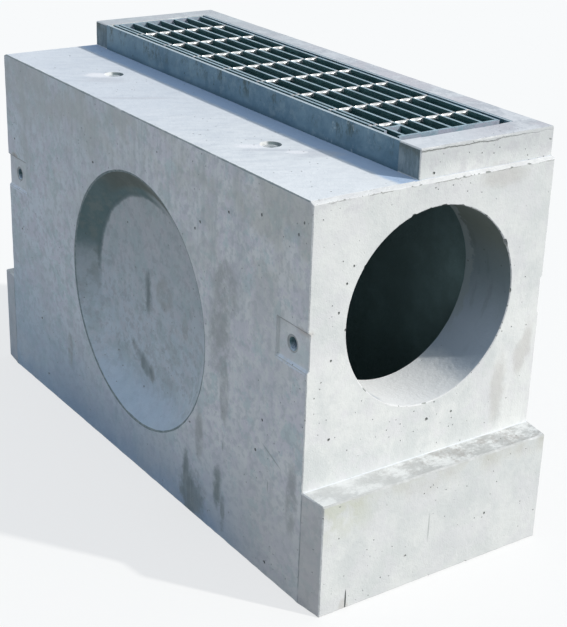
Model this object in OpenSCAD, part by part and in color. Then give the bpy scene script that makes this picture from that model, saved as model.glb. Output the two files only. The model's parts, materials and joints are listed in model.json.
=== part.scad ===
// Precast concrete road catch basin: a long box with a drafted foot at each end, a pipe hole
// in each end wall, a knock-out recess in each long wall, and a raised collar that holds a
// lift-out steel bar grating. Millimetres. X runs along the basin, -Y is the front wall and
// Z = 0 is the underside of the base. The near end is at +X.

/* [Casting] */
// Length between the two end faces, without the feet
body_l = 1000; // [850:10:1200]
// Width over the front and back walls
body_w = 450; // [400:2:560]
// Height of the deck above the underside
body_h = 640; // [570:5:760]
// Thickness of the front and back walls
side_wall = 65; // [60:1:70]
// Thickness of the end walls
end_wall = 107; // [80:1:130]
// Thickness of the base slab
base_t = 80; // [60:1:85]
// Thickness of the deck and of the top slab round the throat
top_t = 40; // [38:1:42]
// Chamfer along the top edge of each end face
end_chamfer = 8; // [2:1:14]

/* [Feet] */
// How far each foot stands out from the end face
foot_out = 48; // [30:1:80]
// Height of a foot at its outer face
foot_h = 190; // [120:5:210]
// Rise of the foot's top from its outer face to the end wall
foot_wash = 2; // [1:1:10]
// Draft of each side of a foot, from the end wall to its outer face
foot_draft = 5; // [2:1:12]

/* [Openings in the walls] */
// Concrete left between a pipe hole and the inner faces of the long walls and the top slab
pipe_hole_margin = 2; // [1:1:30]
// Distance of the knock-out recess above the underside
recess_sill = 90; // [86:1:130]
// Distance of the knock-out recess below the top slab
recess_head = 60; // [20:1:80]
// Depth of the knock-out recess
recess_depth = 30; // [15:1:40]
// Width of the recess's sloping rim
recess_slope = 54; // [20:1:70]

/* [Joint pockets] */
// Length of a pocket from the end face
pocket_l = 78; // [60:1:90]
// Height of a pocket at the wall's face
pocket_h = 64; // [50:1:76]
// Depth of a pocket
pocket_depth = 4; // [3:1:10]
// Slope of a pocket's upper and lower sides, in height
pocket_slope = 4; // [2:1:10]
// Height of the pockets' centre
pocket_z = 416; // [400:1:440]
// Distance of a joint socket from the end face
joint_socket_in = 42; // [30:1:50]
// Length of a joint socket
joint_socket_l = 45; // [30:1:46]
// Outer diameter of a joint socket
joint_socket_d = 28; // [24:1:34]
// Diameter of a joint socket's bore
joint_bore = 20; // [12:1:20]

/* [Lifting sockets] */
// Distance between the two lifting sockets
lift_span = 502; // [300:5:600]
// Distance of the lifting sockets' middle from the middle of the basin
lift_shift = -12; // [-40:1:40]
// Distance of the lifting sockets from the front face
lift_setback = 106; // [80:1:140]
// Length of a lifting socket
lift_socket_l = 31; // [20:1:32]
// Outer diameter of a lifting socket
lift_socket_d = 24; // [22:1:30]
// Diameter of a lifting socket's bore
lift_bore = 16; // [12:1:18]
// Depth of the crater round a lifting socket
crater_depth = 5; // [2:1:5]
// Width of the crater's flat floor round the socket
crater_floor_w = 2; // [1:1:6]
// Width of the crater's sloping wall
crater_wall_w = 2; // [1:1:8]
// Thickness of the closed end of every cast-in socket
socket_end = 4; // [2:1:6]

/* [Collar] */
// Distance of each end of the collar from the end chamfer's top edge
collar_in = 0.5; // [0:0.5:12]
// Height of the collar above the deck
collar_h = 46; // [40:1:60]
// Distance of the collar's front from the front face
collar_setback = 190; // [170:1:210]
// Width of the collar at the near end of the grating well
collar_near_w = 48.5; // [30:0.5:60]
// Width of the collar at the far end of the grating well
collar_far_w = 43.5; // [30:0.5:60]
// Width of the collar behind the back rail
collar_back_w = 39; // [30:1:50]

/* [Frame] */
// Thickness of both legs of a rail
rail_t = 6; // [4:1:7]
// Width of the leg that the grating rests on
seat_w = 35; // [31:1:38]
// Height of that leg's top above the deck
seat_rise = 2; // [0:0.5:3]

/* [Grating] */
// Gap between the grating and the collar at the far end
grate_gap_far = 5; // [5:1:10]
// Gap between the grating and the collar at the near end
grate_gap_near = 16; // [5:1:20]
// Gap between the grating and the front rail
grate_gap_front = 6; // [5:1:8]
// Gap between the grating and the back rail
grate_gap_back = 8; // [5:1:10]
// Width of a bar's flanges
bar_w = 5; // [4:0.5:6]
// Thickness of a bar's web
bar_web = 3; // [2:0.5:4]
// Thickness of a bar's flanges
flange_t = 6; // [4:0.5:8]
// Space between the front side bar and the first bearing bar
side_space = 5; // [4:0.5:6]
// Thickness of the end bars
end_bar_t = 5; // [4:0.5:7]
// Distance of the first cross rod from the grating's far end
rod_far_in = 93; // [20:1:98]
// Distance of the last cross rod from the grating's near end
rod_near_in = 70; // [20:1:98]
// Side of the square space that a twisted rod fills
rod_s = 7; // [5:0.5:8]
// Depth of the rods' tops below the bars' tops
rod_drop = 0.5; // [0.5:0.5:2]
// Length of the notch at the grating's front near corner
notch_l = 35; // [20:1:50]
// Distance of the lock plate from the grating's near end
lock_in = 46; // [20:1:56]
// Thickness of the lock plate
lock_t = 5; // [4:0.5:8]

/* [Hidden] */
half_l = body_l / 2;
half_w = body_w / 2;
inner_x = half_l - end_wall;
inner_y = half_w - side_wall;
ceiling_z = body_h - top_t;
pipe_hole_d = 2 * (inner_y - pipe_hole_margin);
pipe_hole_z = ceiling_z - pipe_hole_margin - pipe_hole_d / 2;
recess_d = ceiling_z - recess_head - recess_sill;
recess_z = recess_sill + recess_d / 2;
crater_floor_d = lift_socket_d + 2 * crater_floor_w;
crater_d = crater_floor_d + 2 * crater_wall_w;
collar_top = body_h + collar_h;
collar_x1 = half_l - end_chamfer - collar_in;
collar_x0 = -collar_x1;
collar_y = -half_w + collar_setback;
well_x0 = collar_x0 + collar_far_w;
well_x1 = collar_x1 - collar_near_w;
rail_y1 = half_w - collar_back_w;
seat_z = body_h + seat_rise;
throat_y0 = collar_y + seat_w;
throat_y1 = rail_y1 - seat_w;
grate_x0 = well_x0 + grate_gap_far;
grate_x1 = well_x1 - grate_gap_near;
grate_y0 = collar_y + rail_t + grate_gap_front;
grate_y1 = rail_y1 - rail_t - grate_gap_back;
bars_x0 = grate_x0 + end_bar_t;
bars_x1 = grate_x1 - end_bar_t;
first_bar_y = grate_y0 + bar_w + side_space + bar_w / 2;
last_bar_y = grate_y1 - bar_w / 2;
// The six bearing bars and the back side bar
bar_count = 7;
bar_pitch = (last_bar_y - first_bar_y) / (bar_count - 1);
rod_count = 8;
rod_pitch = (grate_x1 - grate_x0 - rod_near_in - rod_far_in) / (rod_count - 1);
rod_top = collar_top - rod_drop;
// How far a cutting shape runs past the face that it opens
over = 1;
concrete = [0.80, 0.83, 0.84];
steel = [0.55, 0.61, 0.64];
zinc = [0.62, 0.66, 0.70];
// Facets of the large round openings and of the small sockets
$fn = 96;

// A box between two opposite corners
module span(low, high) {
    translate(low) cube(high - low);
}

// A profile drawn in Y and Z, drawn out along X from x0 to x1
module along_x(x0, x1) {
    translate([x0, 0, 0])
        rotate([90, 0, 90])
            linear_extrude(x1 - x0)
                children();
}

// A profile drawn in X and Z, drawn out along Y from y0 to y1
module along_y(y0, y1) {
    translate([0, y1, 0])
        rotate([90, 0, 0])
            linear_extrude(y1 - y0)
                children();
}

// A round dish with a sloping rim, its floor at the origin and opening up to its face
module dish(depth, floor_d, face_d) {
    rim_over = (face_d - floor_d) * over / depth;
    cylinder(h = depth + over, d1 = floor_d, d2 = face_d + rim_over);
}

// The top slab's stretch between two Y values, chamfered at both end faces
module top_strip(y0, y1) {
    along_y(y0, y1)
        polygon([[-half_l, ceiling_z], [half_l, ceiling_z], [half_l, body_h - end_chamfer],
            [half_l - end_chamfer, body_h], [-half_l + end_chamfer, body_h],
            [-half_l, body_h - end_chamfer]]);
}

// ---- Cast-in sockets ----

// A closed steel socket, its mouth at the origin and its bore running down
module socket(length, outer_d, bore_d) {
    difference() {
        translate([0, 0, -length]) cylinder(h = length, d = outer_d);
        translate([0, 0, -length + socket_end]) cylinder(h = length, d = bore_d);
    }
}

// The hole that a socket fills
module socket_hole(length, outer_d) {
    translate([0, 0, -length]) cylinder(h = length + over, d = outer_d);
}

// Places its child on a joint pocket's floor; side is -1 at the front, end is +1 near
module at_joint(side, end) {
    translate([end * (half_l - joint_socket_in), side * (half_w - pocket_depth), pocket_z])
        rotate([side * -90, 0, 0])
            children();
}

// Places its child on a lifting crater's floor; end is +1 near
module at_lift(end) {
    translate([lift_shift + end * lift_span / 2, -half_w + lift_setback, body_h - crater_depth])
        children();
}

module joint_socket(side, end) {
    color(zinc) at_joint(side, end) socket(joint_socket_l, joint_socket_d, joint_bore);
}

module lift_socket(end) {
    color(zinc) at_lift(end) socket(lift_socket_l, lift_socket_d, lift_bore);
}

// ---- Concrete ----

module base_slab() {
    color(concrete) span([-half_l, -half_w, 0], [half_l, half_w, base_t]);
}

// The front wall's near joint: a pocket open at the end face, and the hole for its socket
module joint_cut() {
    face_h = pocket_h / 2 + pocket_slope * over / pocket_depth;
    floor_h = pocket_h / 2 - pocket_slope;
    along_x(half_l - pocket_l, half_l + over)
        polygon([[-half_w - over, pocket_z - face_h], [-half_w - over, pocket_z + face_h],
            [-half_w + pocket_depth, pocket_z + floor_h],
            [-half_w + pocket_depth, pocket_z - floor_h]]);
    at_joint(-1, 1) socket_hole(joint_socket_l, joint_socket_d);
}

// The front wall; the back wall is its mirror image
module long_wall() {
    difference() {
        span([-half_l, -half_w, base_t], [half_l, -inner_y, ceiling_z]);
        translate([0, -half_w + recess_depth, recess_z])
            rotate([90, 0, 0])
                dish(recess_depth, recess_d - 2 * recess_slope, recess_d);
        joint_cut();
        mirror([1, 0, 0]) joint_cut();
    }
}

module front_wall() {
    color(concrete) long_wall();
}

module back_wall() {
    color(concrete) mirror([0, 1, 0]) long_wall();
}

// The near end wall with its pipe hole
module end_wall_block() {
    difference() {
        span([inner_x, -inner_y, base_t], [half_l, inner_y, ceiling_z]);
        translate([inner_x - over, 0, pipe_hole_z])
            rotate([0, 90, 0])
                cylinder(h = end_wall + 2 * over, d = pipe_hole_d);
    }
}

module near_end_wall() {
    color(concrete) end_wall_block();
}

module far_end_wall() {
    color(concrete) mirror([1, 0, 0]) end_wall_block();
}

// The near foot: drafted in plan, and washed down to its outer face
module foot_block() {
    foot_x = half_l + foot_out;
    intersection() {
        linear_extrude(foot_h + foot_wash)
            polygon([[half_l, -half_w], [foot_x, -half_w + foot_draft],
                [foot_x, half_w - foot_draft], [half_l, half_w]]);
        along_y(-half_w, half_w)
            polygon([[half_l, 0], [foot_x, 0], [foot_x, foot_h], [half_l, foot_h + foot_wash]]);
    }
}

module near_foot() {
    color(concrete) foot_block();
}

module far_foot() {
    color(concrete) mirror([1, 0, 0]) foot_block();
}

// The deck in front of the collar, with its two lifting craters
module deck_slab() {
    color(concrete)
        difference() {
            top_strip(-half_w, throat_y0);
            rail_space();
            for (end = [-1, 1])
                at_lift(end) {
                    socket_hole(lift_socket_l, lift_socket_d);
                    dish(crater_depth, crater_floor_d, crater_d);
                }
        }
}

// The top slab at the near end of the throat
module end_slab() {
    intersection() {
        top_strip(throat_y0, throat_y1);
        span([inner_x, throat_y0, 0], [half_l, throat_y1, body_h]);
    }
}

module near_top_slab() {
    color(concrete) end_slab();
}

module far_top_slab() {
    color(concrete) mirror([1, 0, 0]) end_slab();
}

module back_top_slab() {
    color(concrete)
        difference() {
            top_strip(throat_y1, half_w);
            rail_space();
        }
}

module near_collar() {
    color(concrete) span([well_x1, collar_y, body_h], [collar_x1, half_w, collar_top]);
}

module far_collar() {
    color(concrete) span([collar_x0, collar_y, body_h], [well_x0, half_w, collar_top]);
}

module back_collar() {
    color(concrete) span([well_x0, rail_y1, body_h], [well_x1, half_w, collar_top]);
}

// ---- Frame ----

// The front rail's section: the upright leg forms the collar's front, the other is the seat
module rail_section() {
    polygon([[collar_y, seat_z - rail_t], [throat_y0, seat_z - rail_t], [throat_y0, seat_z],
        [collar_y + rail_t, seat_z], [collar_y + rail_t, collar_top], [collar_y, collar_top]]);
}

// The same section turned round to the back of the well
module back_rail_section() {
    translate([collar_y + rail_y1, 0]) mirror([1, 0]) rail_section();
}

module front_rail() {
    color(steel) along_x(well_x0, well_x1) rail_section();
}

module back_rail() {
    color(steel) along_x(well_x0, well_x1) back_rail_section();
}

// What both rails take out of the top slab
module rail_space() {
    along_x(well_x0, well_x1) {
        rail_section();
        back_rail_section();
    }
}

// ---- Grating ----

// Middle of a bearing bar across the well, counted from 0 at the front
function bar_y(index) = first_bar_y + index * bar_pitch;

// Middle of a cross rod along the well, counted from 0 at the far end
function rod_x(index) = grate_x0 + rod_far_in + index * rod_pitch;

// An I section, its top at the collar's top and its middle at y
module bar_section(y) {
    for (z = [seat_z, collar_top - flange_t])
        translate([y - bar_w / 2, z]) square([bar_w, flange_t]);
    translate([y - bar_web / 2, seat_z]) square([bar_web, collar_top - seat_z]);
}

// The slots that the cross rods lie in
module rod_slots() {
    for (index = [0 : rod_count - 1])
        translate([rod_x(index) - rod_s / 2, grate_y0 - over, rod_top - rod_s])
            cube([rod_s, grate_y1 - grate_y0 + 2 * over, rod_s + rod_drop + over]);
}

// One slotted bar between the end bars, or short of the near one by cut_back
module bar(y, cut_back = 0) {
    color(steel)
        difference() {
            along_x(bars_x0, bars_x1 - cut_back) bar_section(y);
            rod_slots();
        }
}

module front_side_bar() {
    bar(grate_y0 + bar_w / 2, notch_l - end_bar_t);
}

module back_side_bar() {
    bar(last_bar_y);
}

module bearing_bar(number) {
    bar(bar_y(number - 1));
}

// A flat bar across the grating, its low side at x
module end_bar(x) {
    color(steel) span([x, grate_y0, seat_z], [x + end_bar_t, grate_y1, collar_top]);
}

module near_end_bar() {
    end_bar(bars_x1);
}

module far_end_bar() {
    end_bar(grate_x0);
}

module cross_rod(number) {
    x = rod_x(number - 1);
    color(steel)
        span([x - rod_s / 2, grate_y0, rod_top - rod_s], [x + rod_s / 2, grate_y1, rod_top]);
}

// The upright plate across the first gap, next to the grating's near corner
module lock_plate() {
    x = grate_x1 - lock_in;
    color(steel)
        span([x - lock_t, bar_y(0) + bar_w / 2, seat_z], [x, bar_y(1) - bar_w / 2, collar_top]);
}

base_slab();
front_wall();
back_wall();
near_end_wall();
far_end_wall();
near_foot();
far_foot();
deck_slab();
near_top_slab();
far_top_slab();
back_top_slab();
near_collar();
far_collar();
back_collar();
front_rail();
back_rail();
lift_socket(1);  // near_lift_socket
lift_socket(-1);  // far_lift_socket
joint_socket(-1, 1);  // front_near_socket
joint_socket(-1, -1);  // front_far_socket
joint_socket(1, 1);  // back_near_socket
joint_socket(1, -1);  // back_far_socket
front_side_bar();
bearing_bar(1);  // bearing_bar_1
bearing_bar(2);  // bearing_bar_2
bearing_bar(3);  // bearing_bar_3
bearing_bar(4);  // bearing_bar_4
bearing_bar(5);  // bearing_bar_5
bearing_bar(6);  // bearing_bar_6
back_side_bar();
near_end_bar();
far_end_bar();
cross_rod(1);  // cross_rod_1
cross_rod(2);  // cross_rod_2
cross_rod(3);  // cross_rod_3
cross_rod(4);  // cross_rod_4
cross_rod(5);  // cross_rod_5
cross_rod(6);  // cross_rod_6
cross_rod(7);  // cross_rod_7
cross_rod(8);  // cross_rod_8
lock_plate();
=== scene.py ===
"""The looks of a precast concrete road catch basin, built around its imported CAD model."""

import json
import math
import random

import bmesh
import bpy
from mathutils import Matrix, Vector, noise


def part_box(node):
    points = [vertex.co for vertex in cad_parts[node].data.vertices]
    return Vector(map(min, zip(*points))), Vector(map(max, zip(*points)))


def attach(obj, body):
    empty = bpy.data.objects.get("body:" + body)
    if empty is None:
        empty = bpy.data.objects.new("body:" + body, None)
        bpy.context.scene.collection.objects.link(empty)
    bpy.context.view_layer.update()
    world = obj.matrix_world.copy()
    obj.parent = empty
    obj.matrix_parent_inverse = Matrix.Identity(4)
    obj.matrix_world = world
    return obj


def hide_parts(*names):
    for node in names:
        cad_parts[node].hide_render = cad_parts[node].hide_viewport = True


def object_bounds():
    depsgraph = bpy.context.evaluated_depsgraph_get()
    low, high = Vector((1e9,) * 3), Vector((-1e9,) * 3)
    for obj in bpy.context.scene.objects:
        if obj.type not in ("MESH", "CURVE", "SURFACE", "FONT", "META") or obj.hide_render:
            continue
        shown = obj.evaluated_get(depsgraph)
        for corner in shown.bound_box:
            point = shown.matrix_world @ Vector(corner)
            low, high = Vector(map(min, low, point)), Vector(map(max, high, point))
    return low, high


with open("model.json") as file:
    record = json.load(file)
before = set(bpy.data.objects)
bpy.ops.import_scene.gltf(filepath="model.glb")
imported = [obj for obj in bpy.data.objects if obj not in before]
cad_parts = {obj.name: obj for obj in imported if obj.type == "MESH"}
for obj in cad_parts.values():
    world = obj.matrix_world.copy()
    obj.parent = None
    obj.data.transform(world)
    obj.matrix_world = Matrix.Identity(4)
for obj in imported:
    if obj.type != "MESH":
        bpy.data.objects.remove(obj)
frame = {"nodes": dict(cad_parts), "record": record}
cad_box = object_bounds()
SCENE = bpy.context.scene
ROOT = "casting"
GRATING = "grating"

# ---- Sizes, in metres: from the CAD nodes where a node shows them, else as in the part's source ----

WALL_LOW, WALL_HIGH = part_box("front_wall")
END_LOW, END_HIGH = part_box("near_end_wall")
FOOT_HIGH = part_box("near_foot")[1]
DECK_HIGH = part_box("deck_slab")[1]
SLAB_LOW, SLAB_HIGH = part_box("near_top_slab")
COLLAR_NEAR_LOW, COLLAR_NEAR_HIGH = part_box("near_collar")
COLLAR_FAR_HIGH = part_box("far_collar")[1]
COLLAR_BACK_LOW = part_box("back_collar")[0]
RAIL_LOW, RAIL_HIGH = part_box("front_rail")
BACK_RAIL_LOW, BACK_RAIL_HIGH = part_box("back_rail")

HALF_L = END_HIGH.x
HALF_W = -WALL_LOW.y
INNER_X = END_LOW.x
INNER_Y = -WALL_HIGH.y
BASE_T = WALL_LOW.z
CEILING = WALL_HIGH.z
DECK = DECK_HIGH.z
TOP = COLLAR_NEAR_HIGH.z
COLLAR_Y = COLLAR_NEAR_LOW.y
COLLAR_X = COLLAR_NEAR_HIGH.x
WELL_FAR = COLLAR_FAR_HIGH.x
WELL_NEAR = COLLAR_NEAR_LOW.x
FOOT_X = FOOT_HIGH.x
FOOT_TOP = FOOT_HIGH.z

# The feet's tops fall outwards and their sides stand in a little
FOOT_WASH = 0.002
FOOT_DRAFT = 0.005

# The end's top edge: a worn strip that is this wide and drops this far
END_CHAMFER = 0.008
STRIP_DROP = 0.0032

HOLE_R = 0.158
HOLE_Z = 0.440
RECESS_R = 0.225
RECESS_SLOPE = 0.054
RECESS_DEPTH = 0.030
RECESS_Z = 0.315
POCKET_L = 0.078
POCKET_H = 0.064
POCKET_DEPTH = 0.004
POCKET_SLOPE = 0.004
POCKET_Z = 0.416
CRATER_DEPTH = 0.005
CRATER_FLOOR = 0.002
CRATER_WALL = 0.0035

# How far a cutting shape reaches past the face it cuts
OVER = 0.02

# How close counts as touching: for points on one plane, and for the middles of edges
TINY = 0.0004
NEAR = 0.001

# The worn arrises: the bevel's full width, how far the points move, how far apart they may be,
# and how wide the arris is at each place
BEVEL_WIDTH = 0.005
ROUGH = 0.0008
LONGEST_EDGE = 0.014
ARRISES = {
    "bore": 0.0014,
    "bore's inner end": 0.0015,
    "crater": 0.0006,
    "recess": 0.0020,
    "pocket": 0.0007,
    "end strip": 0.0010,
    "underside": 0.0015,
    "foot": 0.0026,
    "elsewhere": 0.0018,
}

# How far the narrow ledge at the foot of the collar's ends reaches in front of the collar
LEDGE = 0.006

# How many small holes the faces get, less those that would touch another mark
BUG_HOLES = 260

# Which way the trowel's strokes run across the deck, in radians from the long side
STROKES = 1.075

# Each socket: the way its mouth faces, its bore's radius and its thread's pitch
SOCKETS = {
    "near_lift_socket": (Vector((0, 0, 1)), 0.008, 0.0020),
    "far_lift_socket": (Vector((0, 0, 1)), 0.008, 0.0020),
    "front_near_socket": (Vector((0, -1, 0)), 0.010, 0.0025),
    "front_far_socket": (Vector((0, -1, 0)), 0.010, 0.0025),
    "back_near_socket": (Vector((0, 1, 0)), 0.010, 0.0025),
    "back_far_socket": (Vector((0, 1, 0)), 0.010, 0.0025),
}

# The casting's material slots
SKIN, ARRIS, BROKEN, INSIDE, BORE = range(5)

# ---- Camera, lamps, world and floor ----


def make_camera():
    """The photo's camera, as it was fitted to the casting's corners."""
    data = bpy.data.cameras.new("camera")
    data.lens = 81.407
    data.sensor_width = 36
    data.shift_x = -0.0098
    data.shift_y = -0.0025
    data.clip_end = 200
    camera = bpy.data.objects.new("camera", data)
    right = Vector((0.56773, 0.82258, 0.03224))
    up = Vector((-0.33779, 0.19706, 0.92036))
    forward = Vector((-0.75072, 0.53341, -0.38974))
    turn = Matrix((right, up, -forward)).transposed().to_4x4()
    camera.matrix_world = Matrix.Translation((1.9605, -1.2958, 1.2464)) @ turn
    SCENE.collection.objects.link(camera)
    SCENE.camera = camera


def join(tree, socket, value):
    """Links a node's output into a socket, or sets the socket to a number, a place or a colour."""
    if isinstance(value, bpy.types.NodeSocket):
        tree.links.new(value, socket)
    else:
        socket.default_value = value


def add_node(tree, kind, inputs, **settings):
    """A new node, with its settings made and its inputs linked or set."""
    made = tree.nodes.new(kind)
    for key, value in settings.items():
        setattr(made, key, value)
    for key, value in inputs.items():
        join(tree, made.inputs[key], value)
    return made


def seen_ray(tree):
    """1 on the rays that show a background: straight to the camera, reflected or through glass."""
    path = add_node(tree, "ShaderNodeLightPath", {}).outputs
    seen = path["Is Camera Ray"]
    for ray in ("Is Glossy Ray", "Is Transmission Ray"):
        either = add_node(tree, "ShaderNodeMath", {0: seen, 1: path[ray]}, operation="MAXIMUM")
        seen = either.outputs[0]
    return seen


def make_lamps():
    """A high sun, and a sky that is pale blue where it lights and white where it is seen."""
    sun = bpy.data.lights.new("key", "SUN")
    sun.energy = 3.0
    sun.angle = math.radians(2)
    sun.color = (1.0, 0.97, 0.90)
    lamp = bpy.data.objects.new("key", sun)
    lamp.rotation_euler = Vector((0.68, 0.49, 0.545)).to_track_quat("Z", "Y").to_euler()
    SCENE.collection.objects.link(lamp)

    world = bpy.data.worlds.new("world")
    SCENE.world = world
    world.use_nodes = True
    tree = world.node_tree
    tree.nodes.clear()
    fill = add_node(tree, "ShaderNodeBackground", {"Color": (0.74, 0.87, 1.0, 1), "Strength": 0.57})
    white = add_node(tree, "ShaderNodeBackground", {"Color": (1, 1, 1, 1), "Strength": 1})
    shown = {0: seen_ray(tree), 1: fill.outputs[0], 2: white.outputs[0]}
    mix = add_node(tree, "ShaderNodeMixShader", shown)
    add_node(tree, "ShaderNodeOutputWorld", {"Surface": mix.outputs[0]})


def make_floor():
    """A pale floor that looks nearly white where the lamps reach it and keeps the object's shadow."""
    size = 30
    mesh = bpy.data.meshes.new("floor")
    corners = [(-size, -size, 0), (size, -size, 0), (size, size, 0), (-size, size, 0)]
    mesh.from_pydata(corners, [], [(0, 1, 2, 3)])
    floor = bpy.data.objects.new("floor", mesh)
    floor.location.z = cad_box[0][2]
    SCENE.collection.objects.link(floor)
    material = bpy.data.materials.new("floor")
    material.use_nodes = True
    tree = material.node_tree
    tree.nodes.remove(tree.nodes["Principled BSDF"])
    grey = add_node(tree, "ShaderNodeBsdfDiffuse", {"Color": (0.40, 0.40, 0.40, 1)})
    pale = add_node(tree, "ShaderNodeBsdfDiffuse", {"Color": (0.86, 0.86, 0.86, 1)})
    white = add_node(tree, "ShaderNodeEmission", {})
    glow = add_node(tree, "ShaderNodeMixShader", {0: 0.68, 1: pale.outputs[0], 2: white.outputs[0]})
    shown = {0: seen_ray(tree), 1: grey.outputs[0], 2: glow.outputs[0]}
    mix = add_node(tree, "ShaderNodeMixShader", shown)
    join(tree, tree.nodes["Material Output"].inputs["Surface"], mix.outputs[0])
    mesh.materials.append(material)


# ---- Materials ----


class Value:
    """A number that a material's nodes work out: arithmetic with it adds Math nodes."""

    def __init__(self, shade, socket):
        self.shade = shade
        self.socket = socket

    def __add__(self, other):
        return self.shade.math("ADD", self, other)

    def __sub__(self, other):
        return self.shade.math("SUBTRACT", self, other)

    def __mul__(self, other):
        return self.shade.math("MULTIPLY", self, other)

    def __truediv__(self, other):
        return self.shade.math("DIVIDE", self, other)

    def __abs__(self):
        return self.shade.math("ABSOLUTE", self)


class Shade:
    """One procedural material in the making: each method adds nodes and gives their output."""

    def __init__(self, name, metallic=0.0, specular=0.5):
        self.material = bpy.data.materials.new(name)
        self.material.use_nodes = True
        self.tree = self.material.node_tree
        self.shader = self.tree.nodes["Principled BSDF"]
        self.shader.inputs["Metallic"].default_value = metallic
        self.shader.inputs["Specular IOR Level"].default_value = specular
        coords = self.tree.nodes.new("ShaderNodeTexCoord")
        self.place = coords.outputs["Object"]
        self.x, self.y, self.z = self.split(self.place)
        self.facing = coords.outputs["Normal"]

    def put(self, socket, value):
        join(self.tree, socket, getattr(value, "socket", value))

    def node(self, kind, inputs, **settings):
        """A new node of this material, whose inputs may be Values too."""
        plain = {key: getattr(value, "socket", value) for key, value in inputs.items()}
        return add_node(self.tree, kind, plain, **settings)

    def split(self, vector):
        """The three parts of a vector or a colour."""
        return [Value(self, part) for part in self.node("ShaderNodeSeparateXYZ", {0: vector}).outputs]

    def math(self, operation, a, b=0.0):
        return Value(self, self.node("ShaderNodeMath", {0: a, 1: b}, operation=operation).outputs[0])

    def ramp(self, value, low, high):
        """0 below low, 1 above high and smooth between them; low may be the higher one."""
        inputs = {"Value": value, "From Min": low, "From Max": high}
        made = self.node("ShaderNodeMapRange", inputs, interpolation_type="SMOOTHSTEP")
        return Value(self, made.outputs[0])

    def scaled(self, by, place=None):
        """The place with each of its axes multiplied."""
        inputs = {"Vector": place or self.place, "Scale": by}
        return self.node("ShaderNodeMapping", inputs).outputs[0]

    def turned(self, angle, by):
        """The place turned about Z, with each of its axes then multiplied."""
        inputs = {"Vector": self.place, "Angle": angle}
        return self.scaled(by, self.node("ShaderNodeVectorRotate", inputs).outputs[0])

    def length(self, vector):
        """How long a vector is."""
        made = self.node("ShaderNodeVectorMath", {0: vector}, operation="LENGTH")
        return Value(self, made.outputs["Value"])

    def reach(self, a, b):
        """The length of the vector (a, b)."""
        return self.length(self.node("ShaderNodeCombineXYZ", {0: a, 1: b}).outputs[0])

    def noise(self, scale, detail=3.0, rough=0.55, place=None):
        place = place or self.place
        inputs = {"Vector": place, "Scale": scale, "Detail": detail, "Roughness": rough}
        return Value(self, self.node("ShaderNodeTexNoise", inputs).outputs[0])

    def spots(self, scale, low, high, detail=4.0, rough=0.7):
        """1 in cloudy spots, where a noise is above high, and 0 where it is below low."""
        return self.ramp(self.noise(scale, detail, rough), low, high)

    def drawn(self, by, low, high, detail=4.0, rough=0.7):
        """Spots that are drawn out, with a scale of their own along each axis."""
        return self.ramp(self.noise(1.0, detail, rough, self.scaled(by)), low, high)

    def specks(self, scale, radius):
        """1 in the middle of scattered small dots, 0 outside them."""
        inputs = {"Vector": self.place, "Scale": scale, "Randomness": 1.0}
        dots = self.node("ShaderNodeTexVoronoi", inputs)
        return self.ramp(dots.outputs["Distance"], radius, radius * 0.4)

    def patch(self, centre, radii, wobble, soft=0.5, turn=(0, 0, 0)):
        """1 inside a turned ellipsoid with an uneven edge, and 0 outside it."""
        inputs = {"Vector": self.place, "Location": centre, "Rotation": turn, "Scale": radii}
        inner = self.node("ShaderNodeMapping", inputs, vector_type="TEXTURE").outputs[0]
        return self.ramp(self.length(inner) + wobble, 1.0 + soft / 2, 1.0 - soft / 2)

    def patches(self, rows, wobble, soft=0.5, turn=(0, 0, 0)):
        """1 inside any of the patches, whose rows give three sizes of centre and three of radii."""
        return self.most([self.patch(row[:3], row[3:], wobble, soft, turn) for row in rows])

    def spangle(self):
        """The zinc's flowers: flat cells, each of a tone of its own."""
        cells = self.node("ShaderNodeTexVoronoi", {"Vector": self.place, "Scale": 140.0})
        return self.split(cells.outputs["Color"])[0]

    def most(self, values):
        """The largest of some values."""
        top = values[0]
        for value in values[1:]:
            top = self.math("MAXIMUM", top, value)
        return top

    def mix(self, share, a, b):
        """Colour a where the share is 0 and colour b where it is 1."""
        inputs = {0: share, 6: self.colour(a), 7: self.colour(b)}
        return self.node("ShaderNodeMix", inputs, data_type="RGBA").outputs[2]

    def colour(self, value):
        return (*value, 1) if isinstance(value, tuple) else value

    def layers(self, tone, *rows):
        """A tone with colours laid over it in turn, each where all of its shares are high."""
        for colour, share, *others in rows:
            for other in others:
                share = share * other
            tone = self.mix(share, tone, colour)
        return tone

    def lay(self, colour, *shares):
        """Lays a colour over the material's tone."""
        self.tone = self.layers(self.tone, (colour, *shares))

    def bump(self, height, distance):
        inputs = {"Height": height, "Distance": distance, "Strength": 1.0}
        return self.node("ShaderNodeBump", inputs).outputs[0]

    def done(self, roughness, normal):
        """The finished material."""
        self.put(self.shader.inputs["Base Color"], self.tone)
        self.put(self.shader.inputs["Roughness"], roughness)
        self.put(self.shader.inputs["Normal"], normal)
        return self.material


def dim(colour, by):
    """A colour made darker."""
    return tuple(c * by for c in colour)


def concrete_grain(s, base, spread):
    """Sets the cloudy tone that all concrete has, and gives its fine grain and its mottling."""
    cloud = s.spots(6.0, 0.34, 0.66, 5.0, 0.62)
    mottle = s.spots(34.0, 0.32, 0.68, 5.0, 0.68)
    grain = s.noise(420.0, 2.0, 0.6)
    s.tone = s.mix(cloud, dim(base, 1 - spread), base)
    s.lay(dim(base, 1 - 0.9 * spread), mottle, 0.55)
    s.lay((0, 0, 0), s.ramp(grain, 0.75, 0.35), 0.07)
    return grain, mottle


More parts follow.
